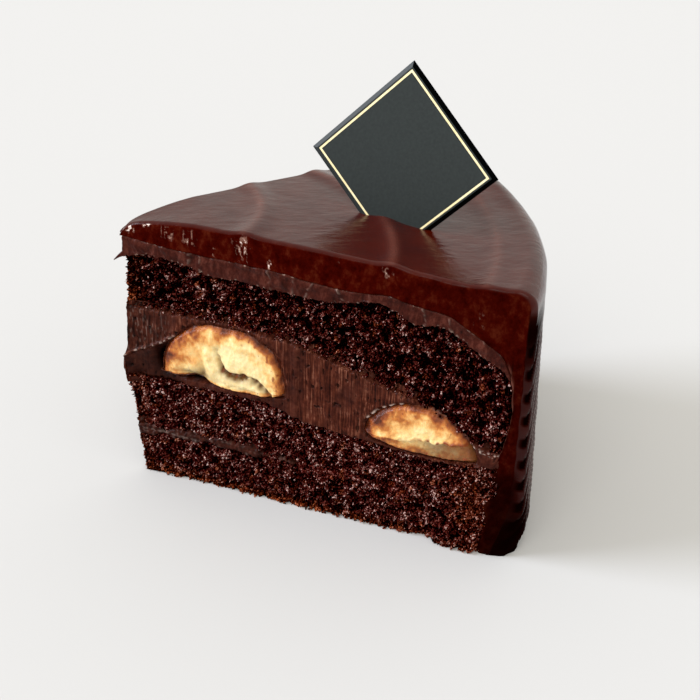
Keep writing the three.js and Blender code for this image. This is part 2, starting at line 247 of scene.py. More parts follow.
def ganache_top(r, turn):
    """Height of the coat's top, with its rings, nose and soft edges."""
    lift = REAR_LIFT * smoothstep(turn, -0.1, 0.5) * smoothstep(r, 70, 96)
    for front, back, height in RINGS:
        lift += height * hill(r - mix(front, back, (turn + 1) / 2), RING_WIDTH)
    nose = NOSE_TIP * math.exp(-r / 1.6)
    if r < NOSE_LENGTH:
        nose += NOSE_DROP * (1 - r / NOSE_LENGTH) ** 1.5
    return GANACHE_TOP(r) + lift - nose - EDGE_DROP * edge_share(r, turn)


def ganache_side(z, turn):
    """Distance of the combed side, which flares towards its foot."""
    flare = SIDE_FLARE * (1 - z / SIDE_HEIGHT)
    corner = (CORNER_PULL + flare) * edge_share(RADIUS, turn)
    return RADIUS + flare - COMB_DEPTH * comb_hollow(z, turn) - corner


def along_side(turn):
    """How far round the side a place lies from the nearer cut."""
    return (1 - abs(turn)) * RADIUS / 2


def comb_hollow(z, turn):
    """How deep in a mark of the comb a place on the side lies; the marks climb round the side."""
    share = (turn + 1) / 2
    climbed = z - COMB_CLIMB * share * (1 + COMB_BEND * (1 - share))
    hollow = math.sin(math.pi * climbed / COMB_PITCH) ** 2
    return hollow * (1 - smoothstep(z, *COMB_FADE)) * smoothstep(along_side(turn), -0.3, 0.8)


def foot_pull(z, turn):
    """How far the side draws in at its foot: a little all round, more beside the front cut."""
    taper = FOOT_TAPER * max(0.0, 1 - z / FOOT_TAPER_HEIGHT) * smoothstep(-turn, 0.88, 1.0)
    tuck = FOOT_TUCK * smoothstep(FOOT_TUCK_HEIGHT - z, 0, FOOT_TUCK_HEIGHT)
    return max(taper, tuck * (1 + 0.6 * soft(turn * 5, 3, 5)))


def unit_block(steps_along, steps_across, steps_up):
    """A unit cube whose faces are divided into steps along, across and up."""
    bm = bmesh.new()
    bmesh.ops.create_cube(bm, size=1.0)
    bmesh.ops.translate(bm, vec=(0.5, 0.5, 0.5), verts=bm.verts)
    for axis, steps in enumerate((steps_along, steps_across, steps_up)):
        long_edges = [e for e in bm.edges if abs((e.verts[0].co - e.verts[1].co)[axis]) > 0.5]
        bmesh.ops.subdivide_edges(bm, edges=long_edges, cuts=steps - 1, use_grid_fill=True)
    return bm


def finish_piece(name, bm, material, slot, *nodes, smooth=True):
    """Makes an object of a finished bmesh and rides it on the slice in place of its CAD nodes."""
    mesh = bpy.data.meshes.new(name)
    bmesh.ops.recalc_face_normals(bm, faces=bm.faces)
    for face in bm.faces:
        face.smooth = smooth
    bm.to_mesh(mesh)
    bm.free()
    mesh.materials.append(material)
    piece = bpy.data.objects.new(name, mesh)
    bpy.context.scene.collection.objects.link(piece)
    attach(piece, "root")
    if nodes:
        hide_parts(*nodes)
    return piece


# Materials


class Finish:
    """A material whose nodes are added one by one."""

    def __init__(self, name, roughness, specular):
        self.material = bpy.data.materials.new(name)
        self.material.use_nodes = True
        self.nodes = self.material.node_tree.nodes
        self.links = self.material.node_tree.links
        self.shader = self.nodes["Principled BSDF"]
        self.shader.inputs["Roughness"].default_value = roughness
        self.shader.inputs["Specular IOR Level"].default_value = specular

    def attribute(self, name):
        node = self.nodes.new("ShaderNodeAttribute")
        node.attribute_name = name
        return node.outputs["Fac"]

    def noise(self, scale, detail=3.0, stretch=(1, 1, 1), roughness=0.5):
        place = self.nodes.new("ShaderNodeTexCoord")
        mapping = self.nodes.new("ShaderNodeMapping")
        mapping.inputs["Scale"].default_value = stretch
        self.links.new(place.outputs["Object"], mapping.inputs["Vector"])
        texture = self.nodes.new("ShaderNodeTexNoise")
        texture.inputs["Scale"].default_value = scale
        texture.inputs["Detail"].default_value = detail
        texture.inputs["Roughness"].default_value = roughness
        self.links.new(mapping.outputs["Vector"], texture.inputs["Vector"])
        return texture.outputs["Fac"]

    def cells(self, scale):
        """A random value for each of many small cells, and the distance from their middles."""
        place = self.nodes.new("ShaderNodeTexCoord")
        texture = self.nodes.new("ShaderNodeTexVoronoi")
        texture.inputs["Scale"].default_value = scale
        self.links.new(place.outputs["Object"], texture.inputs["Vector"])
        return texture.outputs["Color"], texture.outputs["Distance"]

    def ramp(self, source, stops):
        """Colours or greys at positions along a value."""
        node = self.nodes.new("ShaderNodeValToRGB")
        elements = node.color_ramp.elements
        while len(elements) < len(stops):
            elements.new(0.5)
        for element, (at, tone) in zip(elements, stops):
            element.position = at
            element.color = (*tone, 1) if isinstance(tone, tuple) else (tone, tone, tone, 1)
        self.links.new(source, node.inputs["Fac"])
        return node.outputs["Color"]

    def blend(self, share, first, second):
        """Mixes two colours by a share; either colour may be an output or plain numbers."""
        node = self.nodes.new("ShaderNodeMix")
        node.data_type = "RGBA"
        self.links.new(share, node.inputs["Factor"])
        for side, tone in (("A", first), ("B", second)):
            socket = [s for s in node.inputs if s.name == side and s.type == "RGBA"][0]
            if isinstance(tone, tuple):
                socket.default_value = (*tone, 1)
            else:
                self.links.new(tone, socket)
        return [s for s in node.outputs if s.type == "RGBA"][0]

    def maths(self, operation, first, second):
        node = self.nodes.new("ShaderNodeMath")
        node.operation = operation
        for socket, value in zip(node.inputs, (first, second)):
            if isinstance(value, (int, float)):
                socket.default_value = value
            else:
                self.links.new(value, socket)
        return node.outputs["Value"]

    def feed(self, socket, source):
        self.links.new(source, self.shader.inputs[socket])

    def bump(self, height, strength, distance):
        node = self.nodes.new("ShaderNodeBump")
        node.inputs["Strength"].default_value = strength
        node.inputs["Distance"].default_value = distance * MM
        self.links.new(height, node.inputs["Height"])
        self.feed("Normal", node.outputs["Normal"])


def sponge_finish():
    finish = Finish("chocolate_sponge", 0.34, 0.1)
    grain = finish.noise(2600, 2, roughness=0.8)
    cells, gaps = finish.cells(2500)
    # The tint is lowered away from the grains' middles, painting shade between the grains.
    tint = finish.maths("ADD", finish.attribute("tint"), finish.maths("MULTIPLY", cells, 0.7))
    tint = finish.maths("ADD", tint, finish.maths("MULTIPLY", grain, 0.9))
    tint = finish.maths("SUBTRACT", tint, finish.maths("MULTIPLY", gaps, 0.4))
    tint = finish.maths("SUBTRACT", tint, 0.54)
    # Painted shade and highlights: black at low tint in the holes, and a pale top colour for highlights
    # on the crumb's tips.
    dark = finish.ramp(
        tint,
        [
            (0.24, (0.0003, 0.0001, 0.0001)),
            (0.36, (0.022, 0.0012, 0.0009)),
            (0.54, (0.066, 0.0066, 0.0048)),
            (0.72, (0.17, 0.046, 0.035)),
            (1.0, (0.7, 0.5, 0.46)),
        ],
    )
    # Painted light: the orange brown of thin crumb lit through.
    lit_orange_tone = finish.ramp(
        tint,
        [(0.2, (0.002, 0.0003, 0.0001)), (0.45, (0.075, 0.008, 0.002)), (0.85, (0.45, 0.11, 0.03))],
    )
    finish.feed("Base Color", finish.blend(finish.attribute("lit_orange"), dark, lit_orange_tone))
    finish.feed("Specular IOR Level", finish.ramp(tint, [(0.62, 0.0), (0.76, 0.12), (1.0, 1.0)]))
    finish.bump(grain, 0.8, 0.3)
    return finish.material


def fudge_finish():
    finish = Finish("fudge", 0.3, 0.05)
    drag = finish.noise(1700, 4, (1, 1, 0.018), 0.75)
    fine = finish.noise(4600, 1, (1, 1, 0.03))
    blot = finish.noise(500, 5, roughness=0.65)
    blots = finish.maths("MULTIPLY", blot, 0.27)
    tone = finish.maths("ADD", finish.maths("MULTIPLY", drag, 0.5), blots)
    tone = finish.maths("ADD", tone, finish.maths("MULTIPLY", fine, 0.23))
    # The palest end of the ramp paints small highlights on the striations.
    colour = finish.ramp(
        tone,
        [
            (0.38, (0.006, 0.0007, 0.0004)),
            (0.46, (0.032, 0.0056, 0.0026)),
            (0.54, (0.076, 0.017, 0.0085)),
            (0.66, (0.26, 0.105, 0.065)),
        ],
    )
    calm = finish.ramp(blot, [(0.35, (0.02, 0.0034, 0.002)), (0.65, (0.058, 0.0135, 0.0075))])
    colour = finish.blend(finish.attribute("calm"), colour, calm)
    # Pale marks, and painted highlights: glints at the top edge, along the fold and on the banana's
    # rim.
    colour = finish.blend(finish.attribute("pale"), colour, (0.6, 0.46, 0.4))
    # Painted shade: near black in hollows, nicks and the gaps behind the bananas, and dark flecks.
    finish.feed("Base Color", finish.blend(finish.attribute("deep"), colour, (0.002, 0.0004, 0.0003)))
    finish.bump(tone, 0.6, 0.3)
    return finish.material


def frosting_finish():
    finish = Finish("frosting", 0.32, 0.06)
    tone = finish.noise(420, 7, (1, 1, 0.6), 0.75)
    colour = finish.ramp(
        tone,
        [
            (0.34, (0.013, 0.0016, 0.0008)),
            (0.5, (0.039, 0.0064, 0.0036)),
            (0.66, (0.088, 0.023, 0.015)),
        ],
    )
    # Painted highlights on the folds, the lower lip and the seam under the ganache.
    colour = finish.blend(finish.attribute("pale"), colour, (0.55, 0.4, 0.33))
    finish.feed("Base Color", colour)
    finish.bump(finish.noise(900, 6, (1, 1, 0.5), 0.65), 0.4, 0.3)
    return finish.material


def ganache_finish():
    finish = Finish("ganache", 0.2, 0.36)
    cut, shade, smear_and_glint = (finish.attribute(name) for name in ("cut", "shade", "smear_and_glint"))
    tone = finish.noise(120, 4)
    top = finish.ramp(tone, [(0.3, (0.036, 0.0014, 0.0002)), (0.7, (0.052, 0.0036, 0.0005))])
    mottle = finish.noise(330, 8, (1, 1, 0.8), 0.72)
    face = finish.ramp(
        mottle,
        [
            (0.36, (0.017, 0.0004, 0.0001)),
            (0.52, (0.036, 0.0016, 0.0005)),
            (0.66, (0.066, 0.0092, 0.0036)),
        ],
    )
    flecks = finish.noise(3600, 3, (1, 1, 0.45), 0.8)
    marks = finish.maths("MULTIPLY", smear_and_glint, flecks)
    # Pale knife marks, partly painted sheen.
    face = finish.blend(finish.ramp(marks, [(0.38, 0.0), (0.7, 0.8)]), face, (0.27, 0.145, 0.11))
    colour = finish.blend(cut, top, face)
    # Painted light on the near slopes of the rings on the top, and a painted highlight line along the
    # lip of the cut.
    colour = finish.blend(finish.attribute("ring"), colour, (0.2, 0.07, 0.05))
    # Painted white glints where the marks are strongest.
    colour = finish.blend(finish.ramp(marks, [(0.74, 0.0), (0.82, 1.0)]), colour, (0.72, 0.6, 0.56))
    finish.feed("Base Color", finish.blend(shade, colour, (0.002, 0.0002, 0.0001)))
    ripples = finish.noise(560, 5, (0.45, 1, 1), 0.65)
    dents = finish.noise(170, 3, (0.5, 1, 1), 0.6)
    shine = finish.ramp(ripples, [(0.3, 0.27), (0.7, 0.42)])
    matt = finish.ramp(finish.maths("MAXIMUM", cut, shade), [(0.0, 1.0), (0.7, 0.05), (0.95, 0.0)])
    finish.feed("Specular IOR Level", finish.maths("MULTIPLY", shine, matt))
    finish.bump(finish.maths("ADD", ripples, dents), 0.3, 0.4)
    return finish.material


def banana_finish():
    finish = Finish("banana", 0.28, 0.3)
    fibres = finish.noise(600, 6, (1, 1, 0.6), 0.75)
    rim = finish.maths("ADD", finish.attribute("rim"), finish.maths("MULTIPLY", fibres, 0.7))
    rim = finish.maths("SUBTRACT", rim, 0.33)
    colour = finish.ramp(
        rim,
        [
            (0.0, (0.86, 0.7, 0.37)),
            (0.18, (0.81, 0.57, 0.24)),
            (0.36, (0.72, 0.38, 0.12)),
            (0.56, (0.48, 0.16, 0.03)),
            (0.78, (0.26, 0.06, 0.012)),
            (1.0, (0.07, 0.012, 0.003)),
        ],
    )
    # The olive colour paints shade in the grooves, dents and the sunken band.
    olive = finish.blend(finish.attribute("olive"), colour, (0.12, 0.055, 0.014))
    brown = finish.ramp(
        finish.maths("ADD", finish.attribute("brown"), finish.maths("MULTIPLY", fibres, 0.4)),
        [(0.35, 0.0), (0.9, 1.0)],
    )
    finish.feed("Base Color", finish.blend(brown, olive, (0.22, 0.045, 0.009)))
    finish.shader.inputs["Subsurface Weight"].default_value = 0.1
    finish.shader.inputs["Subsurface Radius"].default_value = (0.002, 0.001, 0.0005)
    finish.bump(fibres, 0.7, 0.4)
    return finish.material


def card_finish():
    finish = Finish("card", 0.5, 0.3)
    tone = finish.noise(1500, 3)
    colour = finish.ramp(tone, [(0.3, (0.012, 0.0165, 0.0165)), (0.7, (0.017, 0.023, 0.0225))])
    # Painted shade: the bevel faces on the card's right-hand edges are made near black.
    edge = finish.attribute("edge")
    finish.feed("Base Color", finish.blend(edge, colour, (0.001, 0.0012, 0.0012)))
    finish.feed("Specular IOR Level", finish.ramp(edge, [(0.0, 0.3), (1.0, 0.0)]))
    finish.bump(finish.noise(3000, 2), 0.08, 0.1)
    return finish.material


def gold_finish():
    finish = Finish("gold_line", 0.35, 0.5)
    tone = finish.noise(900, 2)
    finish.feed("Base Color", finish.ramp(tone, [(0.3, (0.88, 0.73, 0.38)), (0.7, (0.97, 0.87, 0.56))]))
    finish.shader.inputs["Metallic"].default_value = 0.15
    return finish.material


SPONGE = sponge_finish()
FUDGE = fudge_finish()
FROSTING = frosting_finish()
GANACHE = ganache_finish()
BANANA = banana_finish()
CARD = card_finish()
GOLD = gold_finish()


# Sponge

HEEL = 80  # distance of the notch in the foot of the front cut; the crumb swells outside it
HEEL_SWELL = 1.9
HEEL_NOTCH = 1.2
HEEL_DRAW = 5  # how far the crumb's outer end draws in over this height, beside the ganache's foot
HEEL_DRAW_HEIGHT = 14


def crumb(place, open_share):
    """How far the crumb stands out at a place, and its tint from 0 in the holes to 1 on the tips; the
    tint paints shade into the holes and cracks and highlights on the tips.
    """
    bent = place + noise.noise_vector(place * 0.9) * 0.45 + noise.noise_vector(place * 2.6) * 0.22
    gaps, points = noise.voronoi(bent * 1.8, distance_metric="MANHATTAN")
    crack = smoothstep(gaps[1] - gaps[0], 0.02, 0.5)
    level = noise.cell(points[0] * 31.7)
    torn = noise.noise(bent * 3.1)
    clumps = noise.noise(place * 0.4)
    holes = smoothstep(noise.noise(bent * 0.62 + Vector((7, 3, 5))), 0.05, 0.4) * open_share
    height = 0.3 * crack + 0.7 * level * crack - 0.8 + 0.5 * clumps + 0.4 * torn - 1.6 * holes
    # The tint is painted shade and highlight: lowered in the holes and cracks, raised on the tips.
    tint = 0.18 + 0.16 * crack + 0.22 * level + 0.36 * torn + 0.28 * clumps - 0.7 * holes
    tint += 0.08 * (1 - open_share)
    return height, tint


def lit_orange_share(r, z):
    """How much of the orange brown of thin, lit crumb shows, as painted light: at the tip, the foot and
    in clumps.
    """
    tip = hill(r - 1, 3.4) * (0.3 + 0.7 * hill(z - 52.5, 4.5))
    foot = (1 - smoothstep(z, 0.6, 3.4)) * (1 - 0.6 * smoothstep(r, 40, 90))
    heel = 0.5 * hill(r - 92, 4) * hill(z - 13, 9)
    clumps = 0.6 * smoothstep(soft(r / 1.8, z / 1.8, 5) + 0.3 * soft(r / 9, z / 9, 2), 0.32, 0.5)
    return clamp(tip + 0.9 * foot + heel + clumps)


def plain_outer(w):
    return CORE_RADIUS


def bulged_outer(w):
    return CORE_RADIUS + CORE_BULGE * math.sin(math.pi * min(1.0, w * 0.8))


def lap(r, turn, edge):
    """How far the crumb is dragged over the fudge at an edge of a sponge, on a cut face."""
    if edge is None:
        return 0.0
    ragged = 0.6 * soft(r / 1.7, turn * 3, edge) + 0.45 * soft(r / 0.8, turn * 3, edge + 20)
    if edge in THIN_EDGES:
        cover = smoothstep(soft(r / 6, turn * 4, 31) + 0.5 * smoothstep(r, 30, 56), -0.3, 0.45)
        return max(0.0, 0.4 + ragged + 1.6 * cover)
    return max(0.0, 0.25 + ragged)


def crumb_top(r, turn, top):
    """The upper edge of a layer of crumb on a cut; at the front the highest follows the frosting."""
    if top is sponge_top and turn < 0:
        return max(top(r, turn), FROSTING_EDGE(r) + 0.5)
    return top(r, turn)


def dragged(r, turn, z):
    """Share by which the knife has dragged the lowest crumb smooth on a cut face."""
    patches = smoothstep(soft(r / 7, z / 3.5, turn + 6), 0.02, 0.3)
    return 0.9 * patches * hill(z - 12.5, 5.5) * smoothstep(r, 34, 50) * smoothstep(92 - r, 0, 8)


def heel_draw(u, turn, z):
    """How far the crumb's outer end draws in at the foot of the front cut."""
    return HEEL_DRAW * u**12 * max(0.0, 1 - z / HEEL_DRAW_HEIGHT) * smoothstep(-turn, 0.9, 1.0)


def heel_relief(r, z):
    """The swelling at the foot of the front cut, near the ganache, and the notch before it."""
    swell = smoothstep(r, HEEL + 2, HEEL + 4) * smoothstep(97 - r, 0, 4) * smoothstep(9 - z, 0, 6)
    return HEEL_SWELL * swell - HEEL_NOTCH * hill(r - HEEL, 2) * hill(z, 1.2)


def sponge_piece(name, node, floor, top, outer, tallest, open_share, laps):
    bm = unit_block(round(CORE_RADIUS / CRUMB_CELL), 12, round(tallest / CRUMB_CELL))
    tints = bm.verts.layers.float.new("tint")
    lit_oranges = bm.verts.layers.float.new("lit_orange")
    for vert in bm.verts:
        u, v, w = vert.co
        turn = 2 * v - 1
        z0, z1 = floor(0.0, turn), top(0.0, turn)
        r = mix(TIP_SETBACK(mix(z0, z1, w)), outer(w), u)
        low, high = floor(r, turn), top(r, turn)
        on_cut, on_tip = at_cut(turn), u < 0.001
        proud, tint = 0.0, 0.3
        if on_cut:
            low -= lap(r, turn, laps[0])
            high = crumb_top(r, turn, top) + lap(r, turn, laps[1])
        z = mix(low, high, w)
        r -= heel_draw(u, turn, z)
        if on_cut or on_tip:
            flat = slice_point(r, turn, z) / MM
            proud, tint = crumb(flat, open_share)
            smooth = dragged(r, turn, z)
            proud, tint = proud * (1 - 0.7 * smooth), mix(tint, 0.3 + 0.25 * tint, smooth)
            if turn < 0 and z < 9:
                proud += heel_relief(r, z)
            sway = noise.noise_vector(flat * 1.3) * 0.3
            r += sway.x
            z += sway.z * (0.5 if w < 0.001 else 1.0)
            if on_tip:
                r -= 0.7 * proud
        vert.co = slice_point(r, turn, max(z, 0.0), proud if on_cut else 0.0)
        vert[tints] = clamp(tint)
        vert[lit_oranges] = lit_orange_share(r, z)
    return finish_piece(name, bm, SPONGE, "chocolate_sponge", node)


sponge_piece(
    "bottom_crumb", "sponge_bottom", table_height, thin_fudge_floor, plain_outer, 12,
    open_share=0.45, laps=(None, THIN_EDGES[0]),
)
sponge_piece(
    "middle_crumb", "sponge_middle", thin_fudge_top, filling_floor, plain_outer, 14,
    open_share=0.3, laps=(THIN_EDGES[1], FILLING_EDGES[0]),
)
sponge_piece(
    "top_crumb", "sponge_top", filling_top, sponge_top, bulged_outer, 20,
    open_share=1.0, laps=(FILLING_EDGES[1], None),
)


# Bananas

# The two halves: the distance that each lies at, how far it drifts from cut to cut, its width,
# the height of its widest place, what rises above and sinks below that, and its outline
BANANAS = [
    dict(
        node="banana_inner", ring=27.6, drift=1.6, width=34.2, base=32.2, rise=15.8, sink=1.4,
        lean=0.0, notch=1.9, fullness=(2.0, 2.8), warmth=0.03, rim_glint=False,
    ),
    dict(
        node="banana_outer", ring=77.2, drift=-1.2, width=29.2, base=27.4, rise=10.6, sink=3.2,
        lean=2.0, notch=0.0, fullness=(1.9, 1.75), warmth=0.16, rim_glint=True,
    ),
]


def banana_share(banana, r, turn, z):
    """How far out a place lies in a banana's section: 1 on its outline, 0 at its heart."""
    across = (r - banana["ring"] - banana["drift"] * turn) / (banana["width"] / 2)
    up = z - banana["base"] + banana["lean"] * max(0.0, across) ** 1.5
    up /= banana["rise"] if up > 0 else banana["sink"]
    power = banana["fullness"][0 if across < 0 else 1]
    return (abs(across) ** power + abs(up) ** power) ** (1 / power)


def inner_banana_marks(r, z):
    """Relief, olive and brown of the larger banana half: its groove, strand and seeds; the olive paints
    shade in the groove, the dent, the valley and round the seeds.
    """
    r += 0.5 * soft(r / 1.6, z / 1.6, 5)
    z += 0.5 * soft(r / 1.6, z / 1.6, 15)
    groove, above = off_trail(r, z, BANANA_GROOVE)
    strand, _ = off_trail(r, z, BANANA_STRAND)
    hollow = hill(r - 18, 5) * hill(z - 31.2, 2.6)
    valley = hill(r - 20.8, 1.0) * hill(z - 35.5, 3.4)
    fade = 1 - 0.6 * smoothstep(z, 36, 41)
    relief = 0.6 * hill(strand, 1.0) - 1.5 * fade * hill(groove, 0.6) - 2.4 * hollow - 0.8 * valley
    relief -= 0.35 * smoothstep(above, 0, 1.5) * hill(groove, 2.5)
    wavy = 0.7 + 0.9 * soft(r / 1.1, z / 1.1, 2)
    olive = 1.15 * fade * hill(groove, 0.6) * wavy
    olive += 0.7 * hill(r - BANANA_DENT, 4) * hill(z - 33, 1.2)
    olive += 0.6 * valley * hill(z - 34, 1.8) + 0.4 * hill(r - 31, 6) * hill(z - 34.2, 0.8)
    brown = 0.25 * hill(strand, 0.3) * smoothstep(r, 25, 30)
    for seed_r, seed_z in BANANA_SEEDS:
        seed = hill(math.hypot(r - seed_r, z - seed_z), 0.5)
        relief -= 0.6 * seed
        brown += 0.7 * seed
        olive += 0.8 * hill(math.hypot(r - seed_r, z - seed_z), 0.9)
    return relief, olive, brown


def outer_banana_marks(r, z):
    """The same for the smaller half: a brown score with a sunken, duller band under it; the band's
    olive and brown are painted shade, strongest on the right.
    """
    z += 0.7 * soft(r / 2.2, 4, 9)
    score, above = off_trail(r, z, BANANA_SCORE)
    under = smoothstep(-above, -0.1, 1.2)
    right = smoothstep(r, 75, 84)
    broken = smoothstep(soft(r / 1.8, 7, 3), -0.35, 0.15)
    relief = 0.3 * hill(score, 0.45) * (0.4 + right) - 0.2 * under - 0.35 * under * right
    olive = under * (0.24 + 0.56 * right)
    brown = hill(score, 0.5) * (0.3 + 0.6 * right) * broken + 0.3 * under * right
    return relief, olive, brown


def banana_section(banana, a, b):
    """A place in a square brought into the banana's section, and how far out it then lies."""
    across = a * math.sqrt(1 - b * b / 2)
    up = b * math.sqrt(1 - a * a / 2)
    out = math.hypot(across, up)
    if out > 0:
        power = banana["fullness"][0 if across < 0 else 1]
        square = (abs(across) ** power + abs(up) ** power) ** (1 / power)
        across, up = across * out / square, up * out / square
    return across, up, out


def banana_place(banana, across, up, turn):
    """The distance and height of a place in the banana's section."""
    angle = math.atan2(up, across)
    wobble = 1 + 0.04 * soft(angle * 2.2, turn * 2, banana["ring"])
    wobble += 0.02 * soft(angle * 7, turn * 2, banana["base"])
    r = banana["ring"] + banana["drift"] * turn + banana["width"] / 2 * across * wobble
    z = banana["base"] + (banana["rise"] if up > 0 else banana["sink"]) * up * wobble
    z -= banana["lean"] * max(0.0, across) ** 1.5
    if up < 0:
        z -= up * banana["notch"] * hill(r - BANANA_DENT, 4)
    return r, z


def banana_rim(banana, r, turn, z, across, inside):
    """Share of orange brown on the cut, which deepens from the banana's heart to its rim."""
    upper = smoothstep(z - banana["base"], 1, 6)
    left = 1 - smoothstep(across, -0.75, 0.15)
    blotch = 0.42 * soft(r / 3.5, z / 3.5, turn + 8) + 0.2 * soft(r / 1.2, z / 1.2, turn)
    rim = 0.97 - 0.3 * smoothstep(inside, 0.0, 0.9)
    rim -= (0.4 - 0.22 * left * upper) * smoothstep(inside, 0.5, 2.4)
    rim -= (0.3 - 0.06 * left * upper) * smoothstep(inside, 1.8, 6.5)
    rim += 0.12 * left
    return rim + blotch * (0.3 + 0.7 * (1 - smoothstep(inside, 3, 8))) + banana["warmth"]


def banana_piece(banana, marks):
    bm = unit_block(190, 24, 96)
    rims = bm.verts.layers.float.new("rim")
    olives = bm.verts.layers.float.new("olive")
    browns = bm.verts.layers.float.new("brown")
    for vert in bm.verts:
        turn = 2 * vert.co.y - 1
        across, up, out = banana_section(banana, 2 * vert.co.x - 1, 2 * vert.co.z - 1)
        r, z = banana_place(banana, across, up, turn)
        relief = olive = brown = 0.0
        rim = 1.0
        if at_cut(turn):
            inside = (1 - out) * (banana["rise"] if up > 0 else 6)
            relief, olive, brown = marks(r, z)
            relief += 0.35 * soft(r / 3, z / 3, turn) + 0.16 * soft(r / 0.8, z / 0.8, turn)
            relief += 0.6 - 1.6 * (1 - smoothstep(inside, 0.0, 1.4))
            rim = banana_rim(banana, r, turn, z, across, inside)
            specks = smoothstep(soft(r / 0.8, z / 1.1, turn + 3), 0.2, 0.5)
            brown += 0.6 * specks * (1 - smoothstep(inside, 2.0, 4)) * smoothstep(inside, 0.2, 1)
        vert.co = slice_point(r, turn, z, relief)
        vert[rims], vert[olives], vert[browns] = clamp(rim), clamp(olive), clamp(brown)
    return finish_piece(banana["node"] + "_flesh", bm, BANANA, "banana", banana["node"])


banana_piece(BANANAS[0], inner_banana_marks)
banana_piece(BANANAS[1], outer_banana_marks)


# Fudge

FUDGE_UNDERLAP = 1.5  # how far the fudge reaches under the crumb that is dragged over its edges


def tip_fold(r, z, drag, glint):
    """What the fold at the tip of the front cut adds: relief, calm, pale and deep shares; pale paints a
    highlight along the fold's crest, deep paints shade in the hollow and below the fold.
    """
    gap, above = off_trail(r, z, FILLING_FOLD)
    near = 1 - smoothstep(r, 12, 17)
    below = smoothstep(-above, 0.0, 3.0)
    rough = smoothstep(above, 0.0, 1.0) * (1 - smoothstep(r, 6, 14))
    strokes = soft(r / 0.55, z / 4, 4)
    hollow = hill(r - FILLING_HOLLOW[0], 1.9) * hill(z - FILLING_HOLLOW[1], 3.6)
    relief = near * (0.9 * hill(gap, 0.45) - 1.1 * below - 0.3 * drag)
    relief += 0.4 * rough * strokes - 3.4 * hollow
    calm = 0.8 * near * smoothstep(-above, -0.5, 0.5) + 0.6 * rough
    pale = 0.7 * near * hill(gap, 0.18) * glint
    pale += 0.14 * rough * smoothstep(soft(r / 0.4, z / 1.8, 24), 0.25, 0.4)
    deep = 0.7 * rough * smoothstep(strokes, -0.05, 0.3) + 1.3 * hollow + 0.35 * near * below
    return relief, calm, pale, deep


def filling_relief(r, turn, z):
    """Relief, calm, pale and deep shares of the filling on a cut face; the pale share paints glints
    along the top edge near the right end, and the deep share paints shade in the nicks.
    """
    low = filling_floor(r, turn) + lap(r, turn, FILLING_EDGES[0])
    high = filling_top(r, turn) - lap(r, turn, FILLING_EDGES[1])
    inside = smoothstep(min(z - low, high - z), -1.0, 0.3)
    lumps = soft(r / 4, z / 4, turn + 5)
    drag = 0.16 * soft(r / 0.4, z / 30, turn) + 0.26 * soft(r / 1.3, z / 34, turn + 2)
    nicks = smoothstep(soft(r / 0.9, z / 1.8, turn + 9), 0.44, 0.54)
    relief = 0.1 + drag + 0.4 * lumps - 0.5 * nicks - 1.6 * (1 - inside)
    relief += 0.25 * soft(r / 1.1, z / 1.1, turn + 1) * (1 - inside)
    calm = 0.8 * smoothstep(r, 90, 94) + 0.8 * (1 - smoothstep(z - low, 1.5, 3.5)) * (r < 44)
    calm += 0.8 * smoothstep(soft(r / 7, z / 9, turn + 12), -0.05, 0.3)
    glint = smoothstep(soft(r / 0.7, z / 0.7, 3), -0.02, 0.3)
    # Painted glints along the top edge near the right end.
    pale = smoothstep(r, 84, 87) * hill(high - z - 0.35, 0.3) * glint
    deep = 0.6 * nicks
    if turn < 0 and r < 18:
        fold = tip_fold(r, z, drag, glint)
        relief, calm, pale, deep = (a + b for a, b in zip((relief, calm, pale, deep), fold))
    for banana in BANANAS:
        share = banana_share(banana, r, turn, z)
        # Behind a banana the filling sinks and is painted near black: painted shade in the gap.
        if share < 0.97:
            relief, deep = -3.0, 1.0
        elif share < 1.07:
            relief -= 0.8 * (1 - smoothstep(share, 0.97, 1.07))
        # Painted white glints along the upper rim of the smaller banana.
        if banana["rim_glint"] and r < banana["ring"] - 2 and z > banana["base"] + 2:
            rim_glint = hill(share - 1.0, 0.022) * smoothstep(soft(r / 1.3, z / 1.3, 8), -0.02, 0.2)
            pale, deep = max(pale, rim_glint), deep * (1 - rim_glint)
            relief += 0.5 * rim_glint
    return relief, clamp(calm), clamp(pale), clamp(deep)


def thin_relief(r, turn, z):
    """Relief, calm, pale and deep shares of the thin fudge on a cut face."""
    low, high = thin_fudge_floor(r, turn), thin_fudge_top(r, turn)
    low += lap(r, turn, THIN_EDGES[0])
    high -= lap(r, turn, THIN_EDGES[1])
    inside = smoothstep(min(z - low, high - z), -0.9, 0.4)
    relief = 0.25 * soft(r / 3, z / 0.8, turn) - 1.7 * (1 - inside)
    relief += 0.35 * soft(r / 0.8, z / 0.8, turn + 6)
    streak = hill(z - THIN_STREAK(r) - 0.3 * soft(r / 3, 4, 4), 0.2)
    pale = 0.22 * streak * (1 - smoothstep(r, 14, 36)) * smoothstep(soft(r / 1.2, 2, 5), -0.3, 0.1)
    pale += 0.08 * smoothstep(soft(r, z, 6), 0.25, 0.5)
    deep = 0.2 + 0.5 * smoothstep(soft(r / 0.7, z / 0.7, 9), 0.0, 0.35)
    return relief, 0.9, clamp(pale), deep


